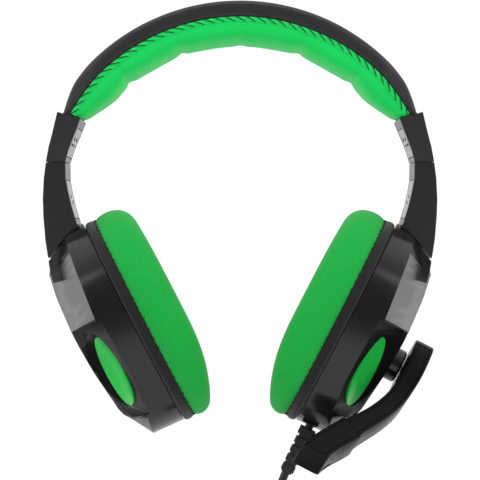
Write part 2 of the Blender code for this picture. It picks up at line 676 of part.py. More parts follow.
hub = solid("mic_hub", *plug_shape([(0, 18.3), (HUB_R, 18.3), (HUB_R, 30.0), (HUB_R - 0.8, 30.8),
                                    (0, 30.8)], cup_axis(*HUB), 24), GLOSS, right_ear, 1)
cut(hub, solid("mic_hub_bore_tool", *plug_shape([(0, 20), (2.3, 20), (2.3, 40), (0, 40)],
                                                cup_axis(*HUB), 14), GLOSS, right_ear, 1,
               helper=True))
outer = on_boom("mic_boom_outer", boom_half(1), GLOSS)
inner = on_boom("mic_boom_inner", boom_half(-1), GLOSS)
cut(inner, on_boom("mic_axle_seat_tool", plug_shape([(0, 30), (2.3, 30), (2.3, 34.8), (0, 34.8)],
                                                    cup_axis(*HUB), 14), GLOSS, helper=True))
on_boom("mic_axle", plug_shape([(0, 20.5), (2.0, 20.5), (2.0, 34.5), (0, 34.5)],
                               cup_axis(*HUB), 14), STEEL)
cut(inner, on_boom("mic_pocket_tool", plug_shape([(0, 0.9), (3.9, 0.9), (3.9, 9), (0, 9)],
                                                 boom_axis(57.6), 18), GLOSS, helper=True))
on_boom("mic_capsule", plug_shape([(0, 1.2), (3.5, 1.2), (3.5, 3.9), (0, 3.9)],
                                  boom_axis(57.6), 16), DARK_METAL)
on_boom("mic_grille", plug_shape([(0, 4.2), (3.6, 4.2), (3.6, 4.9), (0, 4.9)],
                                 boom_axis(57.6), 16), BLACK_CLOTH)
for k, (r0, s0) in enumerate(((56.0, -1.0), (62.5, -3.2))):
    cut(outer, on_boom("mic_hole_%d_tool" % k, plug_shape(
        [(0, -9), (0.6, -9), (0.6, -4.2), (0, -4.2)], boom_axis(r0, s0), 8), GLOSS,
        helper=True))

# ---------------------------------------------------------------- cord, coil and plug
relief_ribs = []
for k in range(4):
    h0, r0 = 3.8 + 4.2 * k, 4.45 - 0.12 * k
    relief_ribs += [(3.45, h0), (3.45, h0 + 1.5), (r0, h0 + 1.5), (r0, h0 + 4.2)]


def relief_square(x, y, h):
    """The strain relief is square in section, its sides along the cup's own directions."""
    return relief_place((x - y) * 0.7071, (x + y) * 0.7071, h)


solid("strain_relief", *turned([(2.85, 0.5), (5.0, 0.5), (5.0, 3.8)] + relief_ribs
                               + [(3.3, 20.6), (3.3, 21.5), (2.85, 21.5)],
                               relief_square, 4), RUBBER, right_ear, 1, smooth=30)


def tube(name, points, parent):
    """A round cord along points, given in model millimetres."""
    curve = bpy.data.curves.new(name, "CURVE")
    curve.dimensions = "3D"
    curve.bevel_depth = CORD_R * MM
    curve.bevel_resolution = 2
    curve.use_fill_caps = True
    spline = curve.splines.new("POLY")
    spline.points.add(len(points) - 1)
    for p, q in zip(spline.points, points):
        p.co = (*(MM * (np.array(q) - np.array(list(parent["at"])))), 1.0)
    obj = bpy.data.objects.new(name, curve)
    bpy.context.scene.collection.objects.link(obj)
    obj.parent = parent
    obj.data.materials.append(material(name + "_look", RUBBER["rgb"], RUBBER["rough"]))
    return obj


def to_model(p):
    return np.array((-p[0], p[1], p[2] - CROWN))


start = to_model(relief_place(0, 0, -5.0))
leave = to_model(relief_place(0, 0, 21.5))
along = (leave - start) / np.linalg.norm(leave - start)
cord_points = [start, start + 0.5 * (leave - start), leave]
heading, here = along, leave
ASIDE = np.array((0, -5.34, 0))     # the cord comes to the coil's foremost turn
for k in range(10):
    t = (k + 1) / 10
    heading = along * (1 - t) + np.array((0, 0, -1.0)) * t
    heading = heading / np.linalg.norm(heading)
    here = here + 2.4 * heading
    cord_points.append(here + ASIDE * t * t * (3 - 2 * t))
COIL_HALF = 7.3           # half of the coil's square section: four turns by four
TIE_IN, TIE_OUT = 7.95, 9.0
LEAD_IN = 8.0             # the cord meets the coil this far beside its top
coil_c = np.array((here[0] + LEAD_IN, here[1], here[2] - 8.0 - 25.6))
cord_points.append(np.array((here[0], here[1] + ASIDE[1], coil_c[2] + 25.7)))
tube("cord", cord_points, right_ear)


def coil_place(x, y, h):
    """The coil's axis runs front to back; written for the mirrored side."""
    return (-(coil_c[0] + x), coil_c[1] + h, coil_c[2] + CROWN + y)


def soft_square(half, corner=1.0):
    """A square outline with its corners taken off."""
    a, b = half, half - corner
    return [(a, b), (b, a), (-b, a), (-a, b), (-a, -b), (-b, -a), (b, -a), (a, -b)]


solid("cord_coil", *turned([(COIL_MEAN_R + p, q) for p, q in soft_square(COIL_HALF)],
                           coil_place, 40), RUBBER, right_ear, 1, smooth=50)
tie_rings = []
for (p, q), (p2, q2) in zip(soft_square(TIE_IN), soft_square(TIE_OUT, 1.6)):
    tie_rings.append([(-(coil_c[0] + h), coil_c[1] + qq, coil_c[2] + COIL_MEAN_R + CROWN + pp)
                      for pp, qq, h in ((p, q, -3), (p2, q2, -3), (p2, q2, 3), (p, q, 3))])
solid("coil_tie", *loft(tie_rings, closed_path=True), HIDE, right_ear, 1)
tail_x, tail_y = coil_c[0] - LEAD_IN, coil_c[1] - COIL_HALF - CORD_R - 0.3
tail_top, tail_end = coil_c[2] - 20.0, coil_c[2] - 30.0
tube("cord_tail", [np.array((tail_x, tail_y, z)) for z in (tail_top, tail_top - 5, tail_end)],
     right_ear)


def plug_place(x, y, h):
    return (-(tail_x + x), tail_y + y, tail_end + CROWN - h)


solid("plug_body", *plug_shape([(0, 0.3), (2.4, 0.3), (3.2, 5.0), (4.0, 7.0), (4.0, 21.0),
                                (3.4, 22.0), (0, 22.0)], plug_place, 18), RUBBER, right_ear, 1)
solid("plug_pin", *plug_shape([(0, 22.3), (2.4, 22.3), (2.4, 23.0), (1.75, 23.0), (1.75, 26.2),
                               (1.5, 26.3), (1.5, 26.7), (1.75, 26.8), (1.75, 29.2),
                               (1.5, 29.3), (1.5, 29.7), (1.75, 29.8), (1.75, 32.0),
                               (1.5, 32.1), (1.5, 32.5), (1.75, 33.5), (1.2, 34.8),
                               (0, 36.0)], plug_place, 14), GOLD, right_ear, 1)
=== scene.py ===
"""Gaming headset: the looks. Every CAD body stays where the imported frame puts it; this script
adds the camera, the light, the cord, the sewn soft parts and the finish of every surface."""

import json
import math

import bmesh
import bpy
import numpy as np
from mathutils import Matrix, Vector
from mathutils.bvhtree import BVHTree


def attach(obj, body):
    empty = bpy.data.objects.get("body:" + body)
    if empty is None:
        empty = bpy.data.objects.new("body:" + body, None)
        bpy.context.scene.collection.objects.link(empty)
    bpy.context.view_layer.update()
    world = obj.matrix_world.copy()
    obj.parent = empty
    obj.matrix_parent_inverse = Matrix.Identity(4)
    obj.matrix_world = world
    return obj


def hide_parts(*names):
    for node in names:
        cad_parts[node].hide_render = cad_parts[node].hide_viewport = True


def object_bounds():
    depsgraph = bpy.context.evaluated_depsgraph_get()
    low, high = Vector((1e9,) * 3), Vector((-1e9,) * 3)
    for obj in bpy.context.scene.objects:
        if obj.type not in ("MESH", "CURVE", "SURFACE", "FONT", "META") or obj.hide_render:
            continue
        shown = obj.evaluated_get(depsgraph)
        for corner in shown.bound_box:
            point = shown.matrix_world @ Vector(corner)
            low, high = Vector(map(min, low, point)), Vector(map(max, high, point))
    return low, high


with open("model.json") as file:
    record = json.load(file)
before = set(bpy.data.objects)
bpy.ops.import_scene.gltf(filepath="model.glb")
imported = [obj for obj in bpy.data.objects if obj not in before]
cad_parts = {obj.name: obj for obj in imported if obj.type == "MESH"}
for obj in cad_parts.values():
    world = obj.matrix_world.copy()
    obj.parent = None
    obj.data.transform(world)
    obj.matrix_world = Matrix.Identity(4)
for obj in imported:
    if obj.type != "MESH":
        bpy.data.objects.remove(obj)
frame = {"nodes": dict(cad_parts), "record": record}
cad_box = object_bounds()
scene = bpy.context.scene
MM = 0.001
CROWN = 84.5            # profile level to the origin, mm

# ---------------------------------------------------------------- camera
cam_data = bpy.data.cameras.new("camera")
cam_data.sensor_width = 36.0
cam_data.lens = 112.07
cam = bpy.data.objects.new("camera", cam_data)
scene.collection.objects.link(cam)
cam.location = (0.0, -0.650, -CROWN * MM)
cam.rotation_euler = (math.pi / 2, 0.0, 0.0)
cam_data.clip_start = 0.01
scene.camera = cam


# ---------------------------------------------------------------- node helpers
def new_material(name):
    mat = bpy.data.materials.new(name)
    mat.use_nodes = True
    tree = mat.node_tree
    return mat, tree, tree.nodes["Principled BSDF"]


def node(tree, kind, **values):
    made = tree.nodes.new(kind)
    for key, value in values.items():
        if key in made.inputs.keys() if hasattr(made.inputs, "keys") else False:
            made.inputs[key].default_value = value
        else:
            setattr(made, key, value)
    return made


def math_node(tree, operation, a, b=None, c=None, clamp=False):
    made = tree.nodes.new("ShaderNodeMath")
    made.operation = operation
    made.use_clamp = clamp
    for slot, value in zip(made.inputs, (a, b, c)):
        if value is None:
            continue
        if hasattr(value, "links"):
            tree.links.new(value, slot)
        else:
            slot.default_value = value
    return made.outputs[0]


def mix_color(tree, factor, a, b):
    made = tree.nodes.new("ShaderNodeMix")
    made.data_type = "RGBA"
    for slot, value in ((made.inputs[0], factor), (made.inputs[6], a), (made.inputs[7], b)):
        if hasattr(value, "links"):
            tree.links.new(value, slot)
        elif isinstance(value, (int, float)):
            slot.default_value = value
        else:
            slot.default_value = (*value, 1.0)
    return made.outputs[2]


def noise(tree, scale, detail=2.0, rough=0.5, vector=None):
    made = tree.nodes.new("ShaderNodeTexNoise")
    made.inputs["Scale"].default_value = scale
    made.inputs["Detail"].default_value = detail
    made.inputs["Roughness"].default_value = rough
    if vector is not None:
        tree.links.new(vector, made.inputs["Vector"])
    return made.outputs["Fac"]


def object_coords(tree):
    return tree.nodes.new("ShaderNodeTexCoord").outputs["Object"]


def bump(tree, bsdf, height, distance, strength=1.0, under=None):
    made = tree.nodes.new("ShaderNodeBump")
    made.inputs["Strength"].default_value = strength
    made.inputs["Distance"].default_value = distance
    tree.links.new(height, made.inputs["Height"])
    if under is not None:
        tree.links.new(under, made.inputs["Normal"])
    if bsdf is not None:
        tree.links.new(made.outputs["Normal"], bsdf.inputs["Normal"])
    return made.outputs["Normal"]


def ramp(tree, value, low, high):
    """value mapped from low..high to 0..1."""
    made = tree.nodes.new("ShaderNodeMapRange")
    made.inputs["From Min"].default_value = low
    made.inputs["From Max"].default_value = high
    tree.links.new(value, made.inputs["Value"])
    return made.outputs["Result"]


# ---------------------------------------------------------------- the cup's own frame, as in the CAD (mm)
S, C = 0.458, 0.889
CUP_YAW = math.radians(3.7)
V_AX = np.array((-S, 0.0, C))
_u = np.array((0.0, -1.0, 0.0))
_w = np.array((-C, 0.0, -S))
U_AX = _u * math.cos(CUP_YAW) - _w * math.sin(CUP_YAW)
W_AX = _w * math.cos(CUP_YAW) + _u * math.sin(CUP_YAW)
CUP_O = np.array((-46.2, 0.0, -35.2))


def to_world(points, side=-1):
    """Profile-level millimetres on the -X side to metres in the row frame."""
    pts = np.array(points, float).reshape(-1, 3).copy()
    if side > 0:
        pts[:, 0] *= -1
    pts[:, 2] -= CROWN
    return pts * MM


def cup(u, v, w):
    return tuple(CUP_O + u * U_AX + v * V_AX + w * W_AX)


def oval(t, a, b, power=2.25):
    """Point of the cup's oval at angle t from the top, turning forward."""
    su, cv = math.sin(t), math.cos(t)
    return (a * math.copysign(abs(su) ** (2 / power), su),
            b * math.copysign(abs(cv) ** (2 / power), cv))


ARC_Z = 11.3


def arc(deg, r, y):
    t = math.radians(deg)
    return (r * math.sin(t), y, ARC_Z + r * math.cos(t))


def mesh_object(name, verts, faces, body, smooth=True, angle=None):
    mesh = bpy.data.meshes.new(name)
    mesh.from_pydata([tuple(p) for p in verts], [], [tuple(int(i) for i in f) for f in faces])
    work = bmesh.new()
    work.from_mesh(mesh)
    bmesh.ops.recalc_face_normals(work, faces=work.faces)
    work.to_mesh(mesh)
    work.free()
    obj = bpy.data.objects.new(name, mesh)
    scene.collection.objects.link(obj)
    if smooth:
        mesh.shade_smooth()
        if angle is not None:
            mesh.set_sharp_from_angle(angle=math.radians(angle))
    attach(obj, body)
    return obj


def grid_faces(rows, cols, close_rows=False, close_cols=True):
    """Faces of a grid of rows x cols vertices."""
    faces = []
    for k in range(rows if close_rows else rows - 1):
        for i in range(cols if close_cols else cols - 1):
            a, b = k * cols + i, k * cols + (i + 1) % cols
            c, d = ((k + 1) % rows) * cols + (i + 1) % cols, ((k + 1) % rows) * cols + i
            faces.append((a, b, c, d))
    return faces


def paint(obj, mat):
    obj.data.materials.clear()
    obj.data.materials.append(mat)
    return obj


# ---------------------------------------------------------------- finishes
def plastic(name, base, rough, grain=0.0, spread=0.05, wear=0.0):
    """Moulded plastic: an even colour, slightly uneven gloss and, if asked, a fine texture."""
    mat, tree, bsdf = new_material(name)
    at = object_coords(tree)
    cloud = noise(tree, 55.0, 3.0, 0.6, at)
    fine = noise(tree, 900.0, 2.0, 0.5, at)
    level = math_node(tree, "ADD", math_node(tree, "MULTIPLY", cloud, spread),
                      rough - spread / 2)
    tree.links.new(math_node(tree, "ADD", level, math_node(tree, "MULTIPLY", fine, 0.03)),
                   bsdf.inputs["Roughness"])
    tree.links.new(mix_color(tree, cloud, [c * 0.85 for c in base], [c * 1.15 for c in base]),
                   bsdf.inputs["Base Color"])
    if grain:
        bump(tree, bsdf, noise(tree, 2600.0, 3.0, 0.6, at), 0.00002 * grain, 0.6)
    return mat


def cloth(name, base, dark, cell, sheen=0.12, depth=0.00010, rough=0.85, holes=0.4, shine=0.12,
          laid=False):
    """Knitted sports mesh: staggered rows of small holes with a fine yarn between. laid follows
    the piece's own weave map; otherwise the rows run through the cup's own directions."""
    mat, tree, bsdf = new_material(name)
    at = object_coords(tree)
    k = 2 * math.pi / cell
    parts = tree.nodes.new("ShaderNodeSeparateXYZ")
    if laid:
        uv = tree.nodes.new("ShaderNodeUVMap")
        uv.uv_map = "weave"
        tree.links.new(uv.outputs[0], parts.inputs[0])
        a = math_node(tree, "MULTIPLY", parts.outputs[0], k / 2)
        b = math_node(tree, "MULTIPLY", parts.outputs[1], k * 0.62)
        wave_a = math_node(tree, "SINE", math_node(tree, "ADD", a, b))
        wave_b = math_node(tree, "SINE", math_node(tree, "SUBTRACT", a, b))
    else:
        tree.links.new(at, parts.inputs[0])
        x, y, z = parts.outputs
        side = math_node(tree, "MULTIPLY", math_node(tree, "ABSOLUTE", x), -S)
        up = math_node(tree, "ADD", side, math_node(tree, "MULTIPLY", z, C))
        out = math_node(tree, "ADD", math_node(tree, "MULTIPLY", math_node(tree, "ABSOLUTE", x),
                                               C), math_node(tree, "MULTIPLY", z, S))
        a = math_node(tree, "ADD", up, out)
        b = math_node(tree, "SUBTRACT", up, out)
        front = math_node(tree, "MULTIPLY", y, k * 0.9)
        wave_a = math_node(tree, "SINE", math_node(tree, "ADD",
                                                   math_node(tree, "MULTIPLY", a, k), front))
        wave_b = math_node(tree, "SINE", math_node(tree, "SUBTRACT",
                                                   math_node(tree, "MULTIPLY", b, k), front))
    net = math_node(tree, "MULTIPLY", wave_a, wave_b)
    hole = ramp(tree, math_node(tree, "ABSOLUTE", net), 0.3, 0.95)
    yarn = noise(tree, 2400.0, 2.0, 0.5, at)
    soil = noise(tree, 40.0, 3.0, 0.6, at)
    tone = mix_color(tree, math_node(tree, "MULTIPLY", soil, 0.35), base,
                     [c * 0.82 for c in base])
    color = mix_color(tree, math_node(tree, "MULTIPLY", hole, holes), tone, dark)
    tree.links.new(color, bsdf.inputs["Base Color"])
    bsdf.inputs["Roughness"].default_value = rough
    bsdf.inputs["Sheen Weight"].default_value = sheen
    bsdf.inputs["Sheen Roughness"].default_value = 0.5
    bsdf.inputs["Specular IOR Level"].default_value = shine
    height = math_node(tree, "SUBTRACT", math_node(tree, "MULTIPLY", yarn, 0.25), hole)
    bump(tree, bsdf, height, depth, 0.8)
    return mat


def weave_map(obj, count_rows, count_cols, along, across):
    """Lays the cloth's rows over a closed grid piece: along and across are lengths in metres."""
    layer = obj.data.uv_layers.new(name="weave")
    for poly in obj.data.polygons:
        ids = [(obj.data.loops[i].vertex_index, i) for i in poly.loop_indices]
        rows = [v // count_cols for v, _ in ids]
        cols = [v % count_cols for v, _ in ids]
        wrap_row = max(rows) == count_rows - 1 and min(rows) == 0
        wrap_col = max(cols) == count_cols - 1 and min(cols) == 0
        for (v, i), r, c in zip(ids, rows, cols):
            r = count_rows if wrap_row and r == 0 else r
            c = count_cols if wrap_col and c == 0 else c
            layer.data[i].uv = (along[r], across[c])


def lengths(points, total=None, cell=None):
    """Running length round a closed outline of points, fitted to a whole number of cells."""
    pts = np.array(points, float)
    step = np.linalg.norm(np.roll(pts, -1, axis=0) - pts, axis=1) * MM
    run = np.concatenate([[0.0], np.cumsum(step)])
    if cell:
        run *= round(run[-1] / cell) * cell / run[-1]
    return run


def leather(name, base, rough, scale=900.0, depth=0.00012):
    """Leatherette: pebbled grain, slightly uneven gloss."""
    mat, tree, bsdf = new_material(name)
    at = object_coords(tree)
    cells = tree.nodes.new("ShaderNodeTexVoronoi")
    cells.feature = "SMOOTH_F1"
    cells.inputs["Scale"].default_value = scale
    tree.links.new(at, cells.inputs["Vector"])
    folds = noise(tree, 120.0, 4.0, 0.6, at)
    height = math_node(tree, "ADD", cells.outputs["Distance"],
                       math_node(tree, "MULTIPLY", folds, 0.5))
    bump(tree, bsdf, height, depth, 0.7)
    tree.links.new(mix_color(tree, folds, [c * 0.8 for c in base], [c * 1.25 for c in base]),
                   bsdf.inputs["Base Color"])
    tree.links.new(math_node(tree, "ADD", math_node(tree, "MULTIPLY", folds, 0.1), rough - 0.05),
                   bsdf.inputs["Roughness"])
    return mat


def metal(name, base, rough, brushed=0.0):
    mat, tree, bsdf = new_material(name)
    at = object_coords(tree)
    stretch = tree.nodes.new("ShaderNodeMapping")
    stretch.inputs["Scale"].default_value = (1.0, 1.0, 14.0)
    tree.links.new(at, stretch.inputs["Vector"])
    streak = noise(tree, 400.0, 3.0, 0.6, stretch.outputs[0])
    bsdf.inputs["Metallic"].default_value = 1.0
    tree.links.new(mix_color(tree, streak, [c * 0.9 for c in base], base),
                   bsdf.inputs["Base Color"])
    tree.links.new(math_node(tree, "ADD", math_node(tree, "MULTIPLY", streak, 0.15 + brushed),
                             rough), bsdf.inputs["Roughness"])
    if brushed:
        bump(tree, bsdf, streak, 0.00001, 0.4)
    return mat


GREEN = (0.012, 0.44, 0.062)
LOOK = {
    "gloss_black": plastic("gloss_black", (0.0085, 0.0083, 0.0083), 0.17, 0.0, 0.04),
    "satin_black": plastic("satin_black", (0.011, 0.0108, 0.0108), 0.30, 0.6, 0.05),
    "leatherette": leather("leatherette", (0.012, 0.012, 0.0122), 0.46),
    "green_cloth": cloth("green_cloth", GREEN, (0.004, 0.25, 0.03), 0.0021, holes=0.3,
                         depth=0.00008, laid=True),
    # Cushion and welt green: partly their own brighter green, partly painted light, with the colour
    # raised to stand in for light from below.
    "green_smooth_with_painted_light": cloth("green_smooth_with_painted_light", (0.009, 0.76, 0.135), (0.006, 0.60, 0.10), 0.0013,
                          0.05, 0.00003, 0.55, 0.08, 0.14),
    "green_gloss": plastic("green_gloss", (0.017, 0.50, 0.068), 0.2, 0.0, 0.04),
    "black_cloth": cloth("black_cloth", (0.011, 0.011, 0.011), (0.004, 0.004, 0.004), 0.0021,
                         0.22, 0.00010, 0.75, 0.5, 0.2, laid=True),
    "rubber": plastic("rubber", (0.012, 0.012, 0.012), 0.50, 1.2, 0.08),
    "steel": metal("steel", (0.62, 0.62, 0.63), 0.22, 0.1),
    "gold": metal("gold", (0.86, 0.62, 0.27), 0.18),
    "dark_metal": metal("dark_metal", (0.10, 0.10, 0.10), 0.35),
    "film": plastic("film", (0.22, 0.22, 0.21), 0.3, 0.0, 0.05),
    "foam": cloth("foam", (0.02, 0.02, 0.02), (0.004, 0.004, 0.004), 0.0016, 0.3, 0.0003, 0.9),
}
LOOK["green_gloss"].node_tree.nodes["Principled BSDF"].inputs[
    "Specular IOR Level"].default_value = 0.04
LOOK["black_mesh"] = cloth("black_mesh", (0.011, 0.011, 0.011), (0.004, 0.004, 0.004), 0.0021,
                           0.22, 0.00016, 0.75)
for entry in frame["record"]["subparts"]:
    found = entry["material_slot"]
    paint(frame["nodes"][entry["node"]], LOOK["black_mesh" if found == "black_cloth" else found])


# ---------------------------------------------------------------- the cord, at its real length
CORD_R = 1.75
RELIEF_U, RELIEF_V, RELIEF_W = 8.0, -47.9, 6.5


def relief_axis(h):
    """A point on the strain relief's axis, in model millimetres on the +X cup."""
    x, y, z = cup(RELIEF_U, RELIEF_V - h, RELIEF_W)
    return np.array((-x, y, z - CROWN))


start, leave = relief_axis(-5.0), relief_axis(21.5)
along = (leave - start) / np.linalg.norm(leave - start)
route = [relief_axis(h) for h in (-5.0, 0.0, 5.0, 10.0, 15.0, 18.5, 21.5)]
heading, here = along, leave
for k in range(10):
    t = (k + 1) / 10
    heading = along * (1 - t) + np.array((0, 0, -1.0)) * t
    heading = heading / np.linalg.norm(heading)
    here = here + 2.4 * heading
    route.append(here + np.array((0, -5.34, 0)) * t * t * (3 - 2 * t))
LEAD_IN = 8.0
coil = np.array((here[0] + LEAD_IN, here[1], here[2] - 8.0 - 25.6))
# down past the tie, then a quarter turn onto the outermost layer
PITCH = 3.56
layers = [19.25 + PITCH * k for k in (1.5, 0.5, -0.5, -1.5)]
turn_in = np.array((coil[0], coil[2] + layers[0] + LEAD_IN))
lane_y = lambda lane: coil[1] + (lane - 1.5) * PITCH
route.append(np.array((coil[0] - LEAD_IN, lane_y(0), turn_in[1])))
for a in (9, 18, 27, 36, 45, 54, 63, 72, 81):
    t = math.radians(a)
    route.append(np.array((turn_in[0] - LEAD_IN * math.cos(t), lane_y(0),
                           turn_in[1] - LEAD_IN * math.sin(t))))
TURNS = 15.5
STEPS = 24
for k in range(int(TURNS * STEPS) + 1):
    turn = k / STEPS
    n = int(turn)
    f = turn - n
    ease = float(np.clip((f - 0.80) / 0.20, 0, 1))
    ease = ease * ease * (3 - 2 * ease)
    layer, step = divmod(n, 4)
    lane = step if layer % 2 == 0 else 3 - step
    to_layer, to_step = divmod(n + 1, 4)
    to_lane = to_step if to_layer % 2 == 0 else 3 - to_step
    r = layers[layer] + (layers[min(to_layer, 3)] - layers[layer]) * ease
    y = lane_y(lane + (to_lane - lane) * ease)
    if turn > TURNS - 0.30:
        g = (turn - (TURNS - 0.30)) / 0.30
        y += (coil[1] - 7.3 - CORD_R - 0.3 - lane_y(0)) * g * g * (3 - 2 * g)
    t = 2 * math.pi * turn
    route.append(np.array((coil[0] + r * math.sin(t), y, coil[2] + r * math.cos(t))))
tail_y = coil[1] - 7.3 - CORD_R - 0.3
turn_out = np.array((coil[0], coil[2] - layers[3] - LEAD_IN))
for a in (9, 18, 27, 36, 45, 54, 63, 72, 81, 90):
    t = math.radians(a)
    route.append(np.array((turn_out[0] - LEAD_IN * math.sin(t), tail_y,
                           turn_out[1] + LEAD_IN * math.cos(t))))
route.append(np.array((coil[0] - LEAD_IN, tail_y, coil[2] - 26.0)))
route.append(np.array((coil[0] - LEAD_IN, tail_y, coil[2] - 30.4)))

curve = bpy.data.curves.new("cord_line", "CURVE")
curve.dimensions = "3D"
curve.bevel_depth = CORD_R * MM
curve.bevel_resolution = 4
curve.use_fill_caps = True
spline = curve.splines.new("POLY")
spline.points.add(len(route) - 1)
for p, q in zip(spline.points, route):
    p.co = (*(MM * q), 1.0)
cord_line = bpy.data.objects.new("cord_line", curve)
scene.collection.objects.link(cord_line)
curve.materials.append(LOOK["rubber"])
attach(cord_line, "right_cup")
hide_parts("cord", "cord_coil", "cord_tail")


# ---------------------------------------------------------------- sewn soft parts
def puff(obj, frames=14, pressure=4.0, cap=1.2, hold=None):
    """Swells a closed cover with cloth simulation. No point moves more than cap millimetres."""
    before = np.empty(len(obj.data.vertices) * 3)
    obj.data.vertices.foreach_get("co", before)
    before = before.reshape(-1, 3)
    mod = obj.modifiers.new("cloth", "CLOTH")
    mod.settings.quality = 6
    mod.settings.mass = 0.2
    mod.settings.tension_stiffness = 25.0
    mod.settings.compression_stiffness = 25.0
    mod.settings.bending_stiffness = 0.6
    mod.settings.use_pressure = True
    mod.settings.uniform_pressure_force = pressure
    mod.settings.effector_weights.gravity = 0.0
    mod.collision_settings.use_collision = False
    mod.collision_settings.use_self_collision = False
    mod.point_cache.frame_start = 1
    mod.point_cache.frame_end = frames
    if hold is not None:
        group = obj.vertex_groups.new(name="hold")
        for i, weight in enumerate(hold):
            if weight > 0:
                group.add([i], float(weight), "REPLACE")
        mod.settings.vertex_group_mass = "hold"
    for f in range(1, frames + 1):
        scene.frame_set(f)
    graph = bpy.context.evaluated_depsgraph_get()
    done = obj.evaluated_get(graph).to_mesh()
    after = np.empty(len(done.vertices) * 3)
    done.vertices.foreach_get("co", after)
    after = after.reshape(-1, 3)
    obj.evaluated_get(graph).to_mesh_clear()
    move = after - before
    far = np.linalg.norm(move, axis=1, keepdims=True)
    print(obj.name, "moved", round(float(far.mean()) * 1000, 2), "mm, most",
          round(float(far.max()) * 1000, 2))
    move *= np.minimum(1.0, cap * MM / np.maximum(far, 1e-9))
    obj.modifiers.remove(mod)
    scene.frame_set(1)
    obj.data.vertices.foreach_set("co", (before + move).ravel())
    obj.data.update()


def smooth_loop(points, n):
    """A closed outline through the given points, by Catmull-Rom, n points per span."""
    pts = np.array(points, float)
    out = []
    for k in range(len(pts)):
        p0, p1, p2, p3 = pts[k - 1], pts[k], pts[(k + 1) % len(pts)], pts[(k + 2) % len(pts)]
        for j in range(n):
            t = j / n
            out.append(0.5 * ((2 * p1) + (p2 - p0) * t + (2 * p0 - 5 * p1 + 4 * p2 - p3) * t * t
                              + (3 * p1 - p0 - 3 * p2 + p3) * t ** 3))
    return np.array(out)


def smooth_line(points, n):
    pts = np.array(points, float)
    pts = np.vstack([2 * pts[0] - pts[1], pts, 2 * pts[-1] - pts[-2]])
    out = []
    for k in range(1, len(pts) - 2):
        p0, p1, p2, p3 = pts[k - 1:k + 3]
        for j in range(n):
            t = j / n
            out.append(0.5 * ((2 * p1) + (p2 - p0) * t + (2 * p0 - 5 * p1 + 4 * p2 - p3) * t * t
                              + (3 * p1 - p0 - 3 * p2 + p3) * t ** 3))
    out.append(pts[-2])
    return np.array(out)


rng = np.random.default_rng(7)
PHASE = rng.uniform(0, 2 * math.pi, 12)


def ripple(t, freqs):
    """An uneven wave round the pad."""
    return sum(math.sin(f * t + PHASE[i % 12]) * a for i, (f, a) in enumerate(freqs))


PAD_OUT = [(37.6, -6.2), (39.3, -7.0), (40.4, -9.6), (40.3, -12.6), (38.7, -15.9), (35.6, -18.3),
           (31.4, -19.5), (27.2, -19.1), (23.9, -16.9), (22.0, -13.4), (21.3, -9.8),
           (21.4, -6.9), (24.5, -6.2), (31.0, -6.2)]
COLS = 160
SEAM_W = -4.7           # where the green cover meets the black ring


